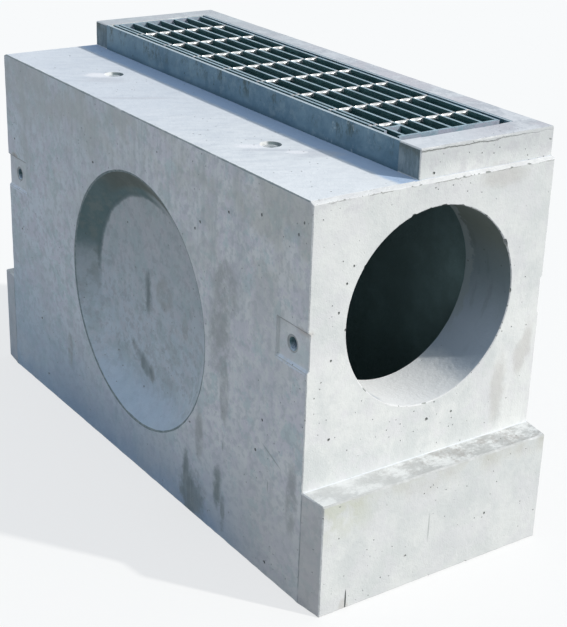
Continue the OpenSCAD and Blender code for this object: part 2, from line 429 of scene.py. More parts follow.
class Skin(Shade):
    """The concrete's cast faces, with the masks that its layers share."""

    def __init__(self):
        super().__init__("concrete", specular=0.35)
        self.nx, self.ny, self.nz = self.split(self.facing)
        self.on_end = self.ramp(abs(self.nx), 0.6, 0.9)
        self.on_top = self.ramp(self.nz, 0.6, 0.9)
        self.on_side = self.ramp(abs(self.ny), 0.3, 0.8)
        self.out_x = abs(self.x)
        self.out_y = abs(self.y)
        self.front = self.ramp(self.y, 0.05, -0.05)
        self.fine = self.noise(26.0, 5.0, 0.7)
        self.wobble = (self.fine - 0.5) * 1.9
        self.strokes = self.noise(1.0, 4.0, 0.62, self.turned(-STROKES, (24.0, 76.0, 24.0)))


def end_layers(s):
    """The end faces: paler, with grey clouds and rain marks, and duller on collar and feet."""
    rain = s.drawn((30.0, 55.0, 7.0), 0.58, 0.75, 4.0, 0.65)
    fleck = s.spots(44.0, 0.48, 0.62)
    pale = s.layers(
        s.mix(s.spots(11.0, 0.36, 0.62, 6.0), (0.635, 0.655, 0.655), (0.775, 0.78, 0.77)),
        ((0.7, 0.685, 0.715), s.spots(21.0, 0.46, 0.62, 4.0, 0.6), 0.5),
        ((0.58, 0.6, 0.6), rain, 0.3),
        ((0.6, 0.615, 0.615), s.ramp(s.z, 0.36, 0.6), 0.3),
        ((0.5, 0.52, 0.53), s.ramp(s.z, DECK + 0.004, DECK + 0.03), 0.62),
        ((0.47, 0.46, 0.5), s.ramp(s.z, DECK - 0.06, DECK), fleck, 0.4),
        ((0.56, 0.58, 0.585), s.ramp(s.out_x, HALF_L + 0.001, HALF_L + 0.004), 0.25),
    )
    s.lay(pale, s.on_end, 0.87)


def deck_layers(s):
    """The deck is bluer, with strokes of the trowel, milky clouds and a painted shadow of the collar
    along its front.
    """
    # beside is a painted shadow: the collar's shadow, dark blue, on the deck along the collar's front
    beside = s.ramp(s.y + s.wobble * 0.006, COLLAR_Y - 0.042, COLLAR_Y - 0.03)
    beside = beside * s.ramp(abs(s.z - DECK), 0.02, 0.01)
    top = s.layers(
        s.mix(s.spots(30.0, 0.36, 0.64, 6.0, 0.72), (0.4, 0.42, 0.47), (0.68, 0.69, 0.73)),
        ((0.5, 0.46, 0.51), s.spots(14.0, 0.46, 0.62, 4.0, 0.6), 0.6),
        ((0.4, 0.45, 0.46), s.ramp(s.x, 0.1, -0.4), 0.48),
        ((0.7, 0.725, 0.77), s.ramp(s.x, 0.3, 0.46), s.ramp(s.y, 0.16, 0.05), 0.6),
    )
    deck = s.layers(
        s.mix(s.ramp(s.strokes, 0.34, 0.64), (0.645, 0.675, 0.73), (0.755, 0.78, 0.82)),
        ((0.82, 0.835, 0.87), s.spots(9.0, 0.38, 0.62, 5.0, 0.65), 0.5),
        ((0.56, 0.61, 0.71), s.ramp(s.x, 0.3, -0.15), 0.45),
        ((0.88, 0.895, 0.93), s.ramp(s.x, 0.2, 0.46), 0.45),
        ((0.31, 0.46, 0.7), beside, 0.8),
        (top, s.ramp(s.z, DECK + 0.02, DECK + 0.03), 0.8),
    )
    s.lay(deck, s.on_top, 0.92)


def wall_layers(s):
    """The long walls: warm at one end and bluish at the other, with run-off streaks and mottling, and
    painted shade low on the front wall.
    """
    wall = s.layers(
        s.mix(s.ramp(s.x, -0.5, 0.5), (0.76, 0.805, 0.87), (0.85, 0.835, 0.835)),
        ((0.7, 0.655, 0.74), s.spots(38.0, 0.44, 0.58), 0.6),
        ((0.54, 0.66, 0.67), s.spots(29.0, 0.5, 0.62), s.front * 0.4 + 0.2),
        ((0.46, 0.49, 0.51), s.spots(75.0, 0.48, 0.62, 3.0, 0.6), 0.42),
    )
    s.lay(wall, s.on_side, 0.85)
    near = s.ramp(s.x, 0.42, 0.25)
    # low, foot and edge are painted shade, laid on the front wall only: darker and bluer low down and
    # towards the far end, with a dark blue band along the bottom
    low = s.ramp(s.z + s.x * 0.35, 0.2, -0.14)
    foot = s.ramp(s.z, 0.17, 0.02) * near * s.ramp(s.x, -0.5, -0.2)
    edge = s.ramp(s.z + s.wobble * 0.02, 0.055, 0.0) * near
    streak = s.drawn((60.0, 60.0, 2.5), 0.45, 0.72, 4.0, 0.65)
    seam = s.ramp(abs(s.out_x - (s.wobble * 0.001 + HALF_L)), 0.0022, 0.0006)
    seam = seam * s.ramp(s.z, FOOT_TOP, FOOT_TOP - 0.005)
    for colour, *shares in (
        ((0.56, 0.55, 0.49), s.ramp(s.z, 0.3, 0.62), s.spots(9.0, 0.44, 0.6, 4.0, 0.6), 0.52),
        ((0.55, 0.58, 0.6), s.ramp(s.z, 0.35, 0.62), s.ramp(s.x, 0.15, -0.15), 0.3),
        ((0.48, 0.52, 0.53), streak, s.ramp(s.z, 0.1, 0.62), 0.42),
        ((0.45, 0.56, 0.66), low, s.front, 0.6),
        ((0.34, 0.42, 0.53), foot, s.front, 0.62),
        ((0.27, 0.38, 0.54), edge, s.front, 0.5),
        ((0.46, 0.46, 0.43), s.ramp(s.y, 0.0, 0.1), s.ramp(s.z, 0.12, 0.0), s.fine, 0.7),
        ((0.55, 0.53, 0.52), s.ramp(s.z, 0.24, 0.08), s.ramp(s.x, 0.26, 0.4), 0.42),
        ((0.58, 0.6, 0.62), s.spots(4.5, 0.48, 0.62, 5.0), 0.28),
        ((0.56, 0.52, 0.5), s.ramp(s.out_x, HALF_L, HALF_L + 0.002), 0.42),
        ((0.22, 0.25, 0.26), seam, s.spots(18.0, 0.3, 0.6, 3.0, 0.55), 0.75),
    ):
        s.lay(colour, s.on_side, *shares)


def recess_layers(s):
    """The recesses: dull, with painted sky light, bluer, towards the bottom, and painted shade on the
    upper far slope, along its inner crease and under the upper rim.
    """
    up = s.z - RECESS_Z
    reach = s.reach(s.x, up)
    inside = s.ramp(reach, RECESS_R + 0.002, RECESS_R)
    inside = inside * s.ramp(s.out_y, HALF_W - 0.0003, HALF_W - 0.0012)
    inside = inside * s.ramp(s.out_y, HALF_W - 0.04, HALF_W - 0.036)
    # The dull tone is painted shade and painted sky light: darker towards the top and bluer towards the
    # bottom
    dull = s.layers(
        s.mix(s.ramp(up, -0.12, 0.14), (0.57, 0.635, 0.7), (0.475, 0.5, 0.52)),
        ((0.57, 0.545, 0.58), s.spots(36.0, 0.44, 0.6), 0.5),
        ((0.38, 0.47, 0.48), s.spots(23.0, 0.46, 0.6, 5.0, 0.72), 0.55),
        ((0.33, 0.35, 0.37), s.spots(80.0, 0.5, 0.62, 3.0, 0.6), 0.45),
        ((0.52, 0.63, 0.77), s.ramp(up, -0.12, -0.2), s.front, 0.75),
    )
    # toward is 1 on the upper far slope, which faces down. The rows laid on it are painted shade: dark,
    # dark in patches (moss) and dark along the crease. crown's band is a painted shadow under the upper
    # rim
    shade_side = (up * 0.79 - s.x * 0.61) / reach + s.wobble * 0.08
    ragged = reach + s.wobble * 0.006
    slope = s.ramp(ragged, RECESS_R - 0.051, RECESS_R - 0.041)
    moss = s.spots(30.0, 0.46, 0.6, 5.0, 0.75) * s.ramp(shade_side, 0.3, 0.7)
    crease = s.ramp(abs(ragged - (RECESS_R - 0.044)), 0.0065, 0.0015)
    crown = (up + s.x * 0.1) / reach
    band = s.ramp(ragged, RECESS_R - 0.036, RECESS_R - 0.024)
    for colour, *shares in (
        (dull, 0.82),
        ((0.3, 0.35, 0.37), s.ramp(shade_side, 0.1, 0.6), slope, 0.5),
        ((0.12, 0.185, 0.19), s.ramp(shade_side, 0.62, 0.84), slope, 0.93),
        ((0.22, 0.25, 0.235), moss, slope, 0.55),
        ((0.13, 0.18, 0.19), s.ramp(shade_side, 0.45, 0.8), crease, 0.55),
        ((0.15, 0.17, 0.155), s.ramp(crown, 0.66, 0.9), band, 0.9),
    ):
        s.lay(colour, inside, *shares)


def stain_layers(s):
    """Damp stains low on the long walls and in the recesses, and a few scratches."""
    front, back, floor = -HALF_W, HALF_W, RECESS_DEPTH - HALF_W
    soft = (
        (0.283, front, 0.44, 0.036, 0.02, 0.05),
        (0.27, front, 0.36, 0.03, 0.02, 0.07),
        (0.284, front, 0.27, 0.013, 0.02, 0.07),
        (0.211, front, 0.158, 0.013, 0.02, 0.045),
        (0.474, front, 0.165, 0.015, 0.02, 0.065),
        (-0.254, front, 0.13, 0.01, 0.02, 0.035),
        (0.004, floor, 0.175, 0.009, 0.02, 0.018),
        (0.045, floor, 0.34, 0.03, 0.02, 0.03),
        (0.115, floor, 0.3, 0.009, 0.02, 0.02),
        (-0.22, back, 0.42, 0.05, 0.02, 0.1),
        (0.31, back, 0.12, 0.03, 0.02, 0.07),
    )
    s.lay((0.4, 0.41, 0.405), s.patches(soft, s.wobble), s.ramp(s.fine, 0.3, 0.62), 0.72)
    strong = (
        (0.17, front, 0.07, 0.01, 0.02, 0.036),
        (0.268, front, 0.088, 0.012, 0.02, 0.036),
        (0.284, front, 0.055, 0.007, 0.02, 0.03),
        (-0.008, floor, 0.325, 0.011, 0.02, 0.032),
    )
    jagged = s.wobble * 1.5
    wet = [
        s.patches(strong, jagged, 1.0),
        s.patch((0.19, front, 0.035), (0.034, 0.02, 0.042), jagged, 0.8),
        s.patch((-0.02, floor, 0.185), (0.038, 0.02, 0.013), jagged, 1.0, (0, 0.58, 0)),
    ]
    runs = s.drawn((70.0, 70.0, 9.0), 0.36, 0.6, 4.0, 0.65)
    s.lay((0.215, 0.25, 0.255), s.most(wet), runs * 0.3 + 0.55)
    thin = s.wobble * 0.3
    upright = (
        (0.411, front, 0.16, 0.0016, 0.02, 0.009),
        (0.283, front, 0.169, 0.002, 0.02, 0.008),
        (FOOT_X, -0.0145, 0.092, 0.02, 0.0013, 0.024),
    )
    slanting = s.patch((0.418, front, 0.216), (0.026, 0.02, 0.0016), thin, 0.8, (0, 0.4, 0))
    s.lay((0.34, 0.36, 0.35), s.most([slanting, s.patches(upright, thin, 0.8)]), 0.6)


def drip_layers(s):
    """Drips on the end faces, grime under the feet's top edges and blotches on their tops."""
    drips = (
        (HALF_L, 0.15, 0.27, 0.02, 0.014, 0.055),
        (HALF_L, 0.194, 0.31, 0.02, 0.012, 0.03),
        (HALF_L, 0.204, 0.34, 0.02, 0.01, 0.03),
        (HALF_L, 0.125, 0.626, 0.02, 0.045, 0.016),
        (-HALF_L, 0.12, 0.25, 0.02, 0.03, 0.05),
        (-HALF_L, -0.19, 0.45, 0.02, 0.02, 0.07),
    )
    dab = s.patch((FOOT_X, -0.175, 0.006), (0.02, 0.009, 0.012), s.wobble, 0.6)
    s.lay((0.53, 0.51, 0.49), s.most([dab, s.patches(drips, s.wobble, 1.0)]), 0.55)
    beyond = s.ramp(s.out_x, HALF_L + 0.001, HALF_L + 0.004)
    grime = s.ramp(s.z + s.wobble * 0.022, FOOT_TOP - 0.046, FOOT_TOP - 0.004)
    grime = grime * s.spots(11.0, 0.4, 0.62, 4.0, 0.6)
    s.lay((0.5, 0.495, 0.45), s.on_end, beyond, grime, 0.7)
    moss = s.ramp(s.z, FOOT_TOP - 0.09, FOOT_TOP - 0.02) * s.ramp(s.y, -0.1, -0.17)
    s.lay((0.56, 0.575, 0.48), s.on_end, beyond, moss, s.ramp(s.fine, 0.36, 0.58), 0.6)
    shelf = s.on_top * beyond
    toward_back = s.ramp(s.y, -0.16, 0.08)
    s.lay((0.76, 0.765, 0.76), shelf, 0.9)
    blots = s.drawn((40.0, 24.0, 20.0), 0.38, 0.58, 6.0, 0.74)
    s.lay((0.45, 0.455, 0.45), shelf, blots, toward_back * 0.3 + 0.58)
    s.lay((0.4, 0.375, 0.36), shelf, s.spots(60.0, 0.5, 0.64), toward_back, 0.6)


def collar_layers(s):
    """The collar's ends: old form faces at the front, dark and streaked, a crack along the top, and a
    painted shadow under the end strip.
    """
    ledge = s.ramp(s.ny, -0.6, -0.8) * s.ramp(s.z, DECK, DECK + 0.002)
    ledge = ledge * s.ramp(s.out_y, 0.135, -COLLAR_Y)
    grey = s.drawn((90.0, 90.0, 22.0), 0.38, 0.62)
    shade = s.ramp(s.z, TOP - 0.022, TOP - 0.004) * s.ramp(s.fine, 0.42, 0.6)
    dark = s.mix(grey, (0.13, 0.185, 0.215), (0.225, 0.285, 0.32))
    s.lay(s.layers(dark, ((0.09, 0.115, 0.105), shade, 0.8)), ledge, 0.97)
    s.crack = s.z - (s.wobble * 0.0062 + (TOP - 0.0052))
    s.crack = s.ramp(abs(s.crack), 0.0012, 0.0004) * s.on_end * s.ramp(s.y, 0.26, 0.02)
    s.lay((0.24, 0.25, 0.24), s.crack, 0.75)
    # burr is a painted shadow: a ragged dark line on the end face under the end strip's lower edge
    strip_edge_shadow = s.z + (s.noise(70.0, 4.0, 0.7) - 0.5) * 0.01
    strip_edge_shadow = s.ramp(abs(strip_edge_shadow - (DECK - STRIP_DROP - 0.0016)), 0.0014, 0.0004)
    s.lay((0.36, 0.36, 0.35), strip_edge_shadow * s.on_end * s.spots(17.0, 0.46, 0.56), 0.8)


def pocket_layers(s):
    """Rust and painted shade round the pockets, and a painted highlight, pale blue, on their lower
    slopes.
    """
    front, back, inner = -HALF_W, HALF_W, HALF_L - POCKET_L
    rust = (
        (0.486, front, 0.444, 0.016, 0.01, 0.006),
        (-0.47, front, 0.449, 0.012, 0.01, 0.006),
        (0.47, back, 0.4, 0.01, 0.01, 0.006),
    )
    s.lay((0.46, 0.34, 0.25), s.patches(rust, s.wobble, 1.2), 0.5)
    beside = s.on_side * s.ramp(s.out_x, inner - 0.001, inner + 0.001)
    beside = beside * s.ramp(s.out_x, HALF_L + 0.001, HALF_L)
    wave = s.wobble * 0.0015
    above = s.ramp(abs(s.z - (POCKET_Z + POCKET_H / 2 - 0.002) + wave), 0.003, 0.001)
    s.lay((0.27, 0.26, 0.25), beside, above, 0.75)
    left = s.ramp(abs(s.out_x - (inner + 0.0018)), 0.0035, 0.0012)
    height = s.ramp(abs(s.z - POCKET_Z), POCKET_H / 2, POCKET_H / 2 - 0.004)
    s.lay((0.4, 0.43, 0.42), s.on_side, left, height, 0.6)
    # below is a painted highlight: sky light, pale blue, on the pockets' lower slopes
    below = s.ramp(abs(s.z - (POCKET_Z - POCKET_H / 2 + 0.001) + wave), 0.0055, 0.0025)
    s.lay((0.78, 0.84, 0.95), beside, below, s.spots(48.0, 0.44, 0.58) * 0.65 + 0.2)
    sunk = beside * s.ramp(s.out_y, HALF_W - 0.003, HALF_W - 0.0038)
    s.lay((0.8, 0.8, 0.79), sunk * s.ramp(s.out_y, HALF_W - 0.006, HALF_W - 0.005), 0.35)


def crater_layers(s):
    """Painted shade in each crater, on the wall that is turned from the sun, and smears beside."""
    hollows = []
    for mouth, way, radius, _ in PLACES.values():
        if way.z:
            away = s.reach(s.x - mouth.x, s.y - mouth.y)
            rim = radius + CRATER_FLOOR + CRATER_WALL
            hollows.append(s.ramp(away, rim + 0.002, rim))
    hollow = s.most(hollows) * s.ramp(s.z, DECK - 0.0002, DECK - 0.0012)
    hollow = hollow * s.ramp(s.z, DECK - 0.02, DECK - 0.01)
    # A painted shadow: the crater walls that face away from the sun, made dark
    turned = s.ramp(s.nx * 0.21 - s.ny * 0.98, 0.25, 0.5)
    s.lay((0.13, 0.17, 0.18), hollow, turned, 0.92)
    along = (0, 0, STROKES)
    grey = (
        (0.262, -0.142, DECK, 0.045, 0.006, 0.01),
        (0.312, -0.088, DECK, 0.036, 0.02, 0.01),
        (-0.235, -0.155, DECK, 0.04, 0.02, 0.01),
        (-0.1, -0.17, DECK, 0.06, 0.006, 0.01),
    )
    s.lay((0.57, 0.585, 0.64), s.patches(grey, s.wobble, 1.0, along), 0.6)
    lime = (
        (0.234, -0.15, DECK, 0.022, 0.01, 0.01),
        (-0.268, -0.145, DECK, 0.026, 0.014, 0.01),
    )
    dab = s.patch((0.2928, -0.1076, DECK), (0.019, 0.01, 0.01), s.wobble, 0.3, along)
    s.lay((0.88, 0.87, 0.91), s.most([dab, s.patches(lime, s.wobble, 1.0, along)]), 0.85)


def concrete_skin():
    """Cast faces: grey walls, paler ends and a bluish deck, with damp, streaks, grime and pin holes."""
    s = Skin()
    grain, mottle = concrete_grain(s, (0.765, 0.765, 0.755), 0.1)
    for add in (end_layers, deck_layers, wall_layers, recess_layers, stain_layers):
        add(s)
    for add in (drip_layers, collar_layers, pocket_layers, crater_layers):
        add(s)
    pins = s.specks(75.0, 0.12) * s.spots(13.0, 0.46, 0.58, 2.0, 0.55)
    s.lay((0.22, 0.24, 0.23), pins, 0.75)
    height = grain * 0.3 + s.noise(90.0, 4.0, 0.6) * 0.7 + s.strokes * s.on_top * 1.1
    height = height - pins * 0.9 - s.crack * 1.5
    return s.done(s.ramp(mottle, -1.5, 1.2), s.bump(height, 0.0012))


def worn_arris():
    """Worn edges: bright where they face up or out, with painted shade where they face sideways or down,
    and dark along the walls' top edges and round the recesses.
    """
    s = Shade("arris", specular=0.35)
    concrete_grain(s, (0.82, 0.82, 0.825), 0.12)
    nx, ny, nz = s.split(s.facing)
    out_x, out_y = abs(s.x), abs(s.y)
    grit = s.spots(120.0, 0.35, 0.65)
    brink = s.ramp(abs(ny), 0.25, 0.5) * s.ramp(s.z, DECK - 0.006, DECK - 0.004)
    brink = brink * s.ramp(s.z, DECK + 0.002, DECK) * s.ramp(out_x, HALF_L, HALF_L - 0.004)
    rim = s.ramp(s.reach(s.x, s.z - RECESS_Z), RECESS_R + 0.012, RECESS_R + 0.008)
    rim = rim * s.ramp(out_y, HALF_W - 0.04, HALF_W - 0.02)
    foot = s.ramp(out_x, HALF_L + 0.02, HALF_L + 0.03) * s.ramp(s.z, FOOT_TOP - 0.02, FOOT_TOP - 0.01)
    strip = s.ramp(out_x, HALF_L - 0.01, HALF_L - 0.008) * s.ramp(s.z, DECK - 0.008, DECK - 0.006)
    brow = s.ramp(abs(nx), 0.2, 0.4) * s.ramp(s.z, TOP - 0.006, TOP - 0.004)
    for colour, *shares in (
        # The first and third rows are painted shade: darker where the arris turns sideways and where it
        # turns down
        ((0.42, 0.46, 0.47), s.ramp(abs(ny), 0.72, 0.88), s.spots(20.0, 0.3, 0.45, 4.0, 0.65), 0.7),
        ((0.2, 0.25, 0.25), brink, s.spots(16.0, 0.3, 0.5, 4.0, 0.65), 0.75),
        ((0.42, 0.43, 0.41), s.ramp(nz, 0.3, -0.2), grit, 0.5),
        ((0.17, 0.225, 0.235), rim, grit * 0.4 + 0.55),
        ((0.47, 0.475, 0.465), foot, s.spots(22.0, 0.3, 0.6, 4.0, 0.65), 0.85),
        ((0.64, 0.63, 0.645), strip, s.spots(38.0, 0.42, 0.62, 5.0), 0.6),
        ((0.46, 0.47, 0.48), brow, s.spots(24.0, 0.36, 0.56, 5.0), 0.85),
    ):
        s.lay(colour, *shares)
    return s.done(0.85, s.bump(s.noise(180.0, 4.0, 0.7), 0.0012))


def broken_concrete():
    """Chips and bug holes, where the dark sand and the shadowed paste show."""
    s = Shade("broken", specular=0.3)
    concrete_grain(s, (0.4, 0.415, 0.4), 0.3)
    s.lay((0.28, 0.275, 0.25), s.specks(260.0, 0.3))
    return s.done(0.95, s.bump(s.noise(300.0, 4.0, 0.7), 0.0015))


def sump_concrete():
    """The inside: painted shade, dark teal, and darker still towards the bottom."""
    s = Shade("sump", specular=0.3)
    # The dark teal base is painted shade
    concrete_grain(s, (0.19, 0.275, 0.275), 0.35)
    darker_low = s.ramp(s.z + s.noise(9.0) * 0.05, 0.3, 0.22)
    s.lay((0.1, 0.145, 0.145), darker_low, 0.5)
    return s.done(0.9, s.bump(s.noise(60.0, 4.0, 0.65), 0.002))


def bore_concrete():
    """The pipe holes' own faces: near white at the bottom, painted sunlight, and darker towards the
    crown, painted shade.
    """
    s = Shade("bore", specular=0.35)
    concrete_grain(s, (0.98, 0.985, 1.0), 0.05)
    height = s.z + (s.noise(18.0, 5.0, 0.65) - 0.5) * 0.03
    ragged = (s.noise(46.0, 5.0, 0.75) - 0.5) * 0.055
    lip = s.ramp(abs(s.x) + ragged, INNER_X + 0.02, INNER_X + 0.013)
    marks = s.drawn((45.0, 12.0, 12.0), 0.52, 0.68, 4.0, 0.65)
    # The near-white base, left at the bottom, is painted sunlight; the first three rows are painted
    # shade: bluish just above where the sun's light ends, then darker up to the crown
    for colour, low, high, *shares in (
        ((0.44, 0.5, 0.58), -0.146, -0.121),
        ((0.215, 0.265, 0.285), -0.09, 0.02),
        ((0.18, 0.205, 0.185), 0.0, 0.1),
        ((0.33, 0.375, 0.385), -0.12, -0.05, lip, 0.7),
        ((0.13, 0.155, 0.155), -0.13, -0.07, marks, 0.3),
        ((0.07, 0.09, 0.09), -0.08, -0.03, s.specks(48.0, 0.1), 0.8),
    ):
        s.lay(colour, s.ramp(height, HOLE_Z + low, HOLE_Z + high), *shares)
    return s.done(0.85, s.bump(s.noise(120.0, 4.0, 0.6), 0.001))


def galvanised(name, base, metallic, rough):
    """Hot-dip zinc gone dull, in faint large spangles with darker runs and rust dots."""
    s = Shade(name, metallic=metallic)
    s.tone = s.mix(s.spangle(), base, dim(base, 0.8))
    cloud = s.spots(24.0, 0.35, 0.7, 4.0, 0.6)
    s.lay(dim(base, 0.65), cloud, 0.5)
    s.lay((0.2, 0.15, 0.11), s.spots(60.0, 0.66, 0.74), 0.5)
    return s.done(cloud * 0.14 + rough, s.bump(s.noise(220.0, 3.0, 0.6), 0.0004))


def thread_steel():
    """A socket's bore: a painted highlight, pale blue, where the thread faces the sky, and painted
    shade, dark teal, elsewhere.
    """
    s = Shade("thread_zinc", metallic=0.2)
    nz = s.split(s.facing)[2]
    # The dark teal base is painted shade
    s.tone = s.mix(s.spots(90.0, 0.4, 0.6, 3.0, 0.55), (0.07, 0.15, 0.17), (0.1, 0.19, 0.23))
    # A painted highlight: sky light on the thread faces that turn up, in the sockets below the deck
    s.lay((0.42, 0.52, 0.66), s.ramp(nz, 0.15, 0.75), s.ramp(s.z, 0.56, 0.54), 0.85)
    dust = s.ramp(s.z, DECK - 0.02, DECK - 0.008) * s.spots(120.0, 0.3, 0.55)
    s.lay((0.52, 0.53, 0.55), dust, 0.75)
    return s.done(s.spots(60.0, -0.4, 1.4, 3.0, 0.55), s.bump(s.noise(220.0, 3.0, 0.6), 0.0003))


def bar_steel():
    """The grating's bars: zinc rubbed bright on top, painted sunlight on the ends, and painted shade,
    dark, on their long sides and deeper down.
    """
    s = Shade("bar_steel", metallic=0.15)
    nx, ny, nz = s.split(s.facing)
    s.tone = s.mix(s.spangle(), (0.31, 0.45, 0.53), (0.22, 0.33, 0.41))
    cloud = s.spots(24.0, 0.35, 0.7, 4.0, 0.6)
    s.lay((0.22, 0.27, 0.3), cloud, 0.4)
    # film is painted shade on the bars' long sides; the next row paints shade deeper down, and the one
    # after it paints sunlight on the faces turned to the ends
    shaded_sides = s.mix(s.spots(40.0, 0.4, 0.65, 4.0, 0.65), (0.02, 0.08, 0.09), (0.04, 0.12, 0.13))
    s.lay(shaded_sides, s.ramp(abs(ny), 0.5, 0.85))
    s.lay((0.04, 0.07, 0.08), s.ramp(s.z, TOP - 0.006, TOP - 0.03), s.ramp(nz, 0.5, 0.2), 0.5)
    s.lay((0.41, 0.41, 0.5), s.ramp(abs(nx), 0.5, 0.85), s.spots(30.0, 0.35, 0.6), 0.8)
    return s.done(cloud * 0.14 + 0.45, s.bump(s.noise(220.0, 3.0, 0.6), 0.0004))


def frame_steel():
    """The rails: weathered zinc, blue partly by a painted reflection of the sky, with dark runs under
    the top edge, splashes of concrete wash, a painted shadow along the deck and a painted highlight on
    top.
    """
    s = Shade("frame_steel", metallic=0.2)
    up = s.ramp(s.split(s.facing)[2], 0.4, 0.8)
    # The blue of the base tone is partly the zinc's colour and partly a painted reflection of the sky
    s.tone = s.mix(s.spots(14.0, 0.36, 0.64, 5.0, 0.65), (0.08, 0.165, 0.235), (0.15, 0.255, 0.33))
    mist = s.spots(45.0, 0.5, 0.68, 5.0)
    run = s.drawn((44.0, 44.0, 24.0), 0.5, 0.64, 5.0, 0.72)
    below = s.ramp(s.z + s.noise(22.0) * 0.02, DECK + 0.016, TOP)
    # wet is a painted shadow: a dark blue band along the rails' foot at the deck
    wet = s.ramp(s.z + s.noise(16.0, 4.0) * 0.012, DECK + 0.016, DECK + 0.006)
    splash = s.spots(55.0, 0.56, 0.66, 5.0) * s.ramp(s.x, 0.2, 0.28) * s.ramp(s.x, 0.4, 0.33)
    joint = s.ramp(s.y, BACK_RAIL_HIGH.y - 0.003, BACK_RAIL_HIGH.y - 0.0024)
    for colour, *shares in (
        ((0.27, 0.36, 0.41), mist, 0.5),
        ((0.04, 0.075, 0.078), run, below, 0.9),
        ((0.055, 0.115, 0.16), wet, 0.7),
        ((0.4, 0.48, 0.52), splash, 0.55),
        ((0.5, 0.58, 0.62), s.specks(150.0, 0.24), s.spots(7.0, 0.54, 0.66, 2.0, 0.55), 0.4),
        ((0.04, 0.07, 0.08), s.specks(48.0, 0.1), s.spots(9.0, 0.45, 0.6, 2.0, 0.55), 0.8),
        # A painted highlight on the faces that turn up
        ((0.44, 0.53, 0.6), up, 0.85),
        ((0.09, 0.17, 0.22), joint, up, 0.9),
    ):
        s.lay(colour, *shares)
    return s.done(mist * 0.25 + 0.48, s.bump(s.noise(160.0, 4.0, 0.6), 0.0005))


# ---- Mesh helpers ----


def new_object(name, bm):
    """An object from a bmesh, which is freed."""
    mesh = bpy.data.meshes.new(name)
    bmesh.ops.recalc_face_normals(bm, faces=bm.faces)
    bm.to_mesh(mesh)
    bm.free()
    obj = bpy.data.objects.new(name, mesh)
    SCENE.collection.objects.link(obj)
    return obj


def apply_modifiers(obj):
    bpy.context.view_layer.update()
    graph = bpy.context.evaluated_depsgraph_get()
    mesh = bpy.data.meshes.new_from_object(obj.evaluated_get(graph))
    obj.modifiers.clear()
    obj.data = mesh


def boolean(target, cutter, operation):
    """Joins the cutter to the target or takes it out, and removes the cutter."""
    modifier = target.modifiers.new("boolean", "BOOLEAN")
    modifier.object = cutter
    modifier.operation = operation
    modifier.solver = "EXACT"
    modifier.material_mode = "INDEX"
    apply_modifiers(target)
    bpy.data.objects.remove(cutter)


def smooth(obj, degrees):
    """Smooth shading, with the edges that turn more than this left sharp."""
    obj.data.shade_smooth()
    obj.data.set_sharp_from_angle(angle=math.radians(degrees))


def add_prism(bm, outline, a, b, axis):
    """A closed prism: the outline lies in the other two axes, in their order, from a to b."""
    place = {
        "x": lambda u, v, along: (along, u, v),
        "y": lambda u, v, along: (u, along, v),
        "z": lambda u, v, along: (u, v, along),
    }[axis]
    low = [bm.verts.new(place(u, v, a)) for u, v in outline]
    high = [bm.verts.new(place(u, v, b)) for u, v in outline]
    bm.faces.new(low)
    bm.faces.new(high[::-1])
    for i in range(len(outline)):
        j = (i + 1) % len(outline)
        bm.faces.new((low[i], high[i], high[j], low[j]))


def add_box(bm, low, high):
    outline = [(low[0], low[1]), (high[0], low[1]), (high[0], high[1]), (low[0], high[1])]
    add_prism(bm, outline, low[2], high[2], "z")


def ring(bm, centre, turn, radius, segments):
    """A ring of vertices across the turned Z axis; radius is a number or a function of the angle."""
    made = []
    for i in range(segments):
        angle = 2 * math.pi * i / segments
        r = radius(angle) if callable(radius) else radius
        made.append(bm.verts.new(centre + turn @ Vector((r * math.cos(angle), r * math.sin(angle), 0))))
    return made


def bridge(bm, low, high):
    """Quads between two rings of the same length."""
    for i in range(len(low)):
        j = (i + 1) % len(low)
        bm.faces.new((low[i], low[j], high[j], high[i]))


def close_tube(bm, rings):
    """Walls between rings that follow one another, and a lid on each end."""
    for low, high in zip(rings, rings[1:]):
        bridge(bm, low, high)
    bm.faces.new(rings[0][::-1])
    bm.faces.new(rings[-1])


def add_cone(bm, start, end, r_start, r_end, segments):
    """A closed frustum between two points."""
    start, end = Vector(start), Vector(end)
    turn = (end - start).to_track_quat("Z", "Y")
    close_tube(bm, [ring(bm, start, turn, r_start, segments), ring(bm, end, turn, r_end, segments)])


def add_lump(bm, centre, radii, turn, seed, detail=2, slot=0):
    """An uneven ellipsoid, for cutting a chip or a bug hole or for a weld bead."""
    made = bmesh.ops.create_icosphere(bm, subdivisions=detail, radius=1.0)["verts"]
    for vert in made:
        grow = 1 + 0.35 * noise.noise(vert.co * 1.4 + Vector((seed * 7.1, seed * 3.3, seed)))
        co = vert.co * grow
        vert.co = centre + turn @ Vector((co.x * radii[0], co.y * radii[1], co.z * radii[2]))
    for face in {f for v in made for f in v.link_faces}:
        face.material_index = slot
        face.smooth = True


# ---- The casting ----


def in_plane(bm, point, normal):
    """The faces that lie in a plane."""
    return [
        f
        for f in bm.faces
        if f.normal.dot(normal) > 0.9999 and abs((f.calc_center_median() - point).dot(normal)) < 1e-5
    ]


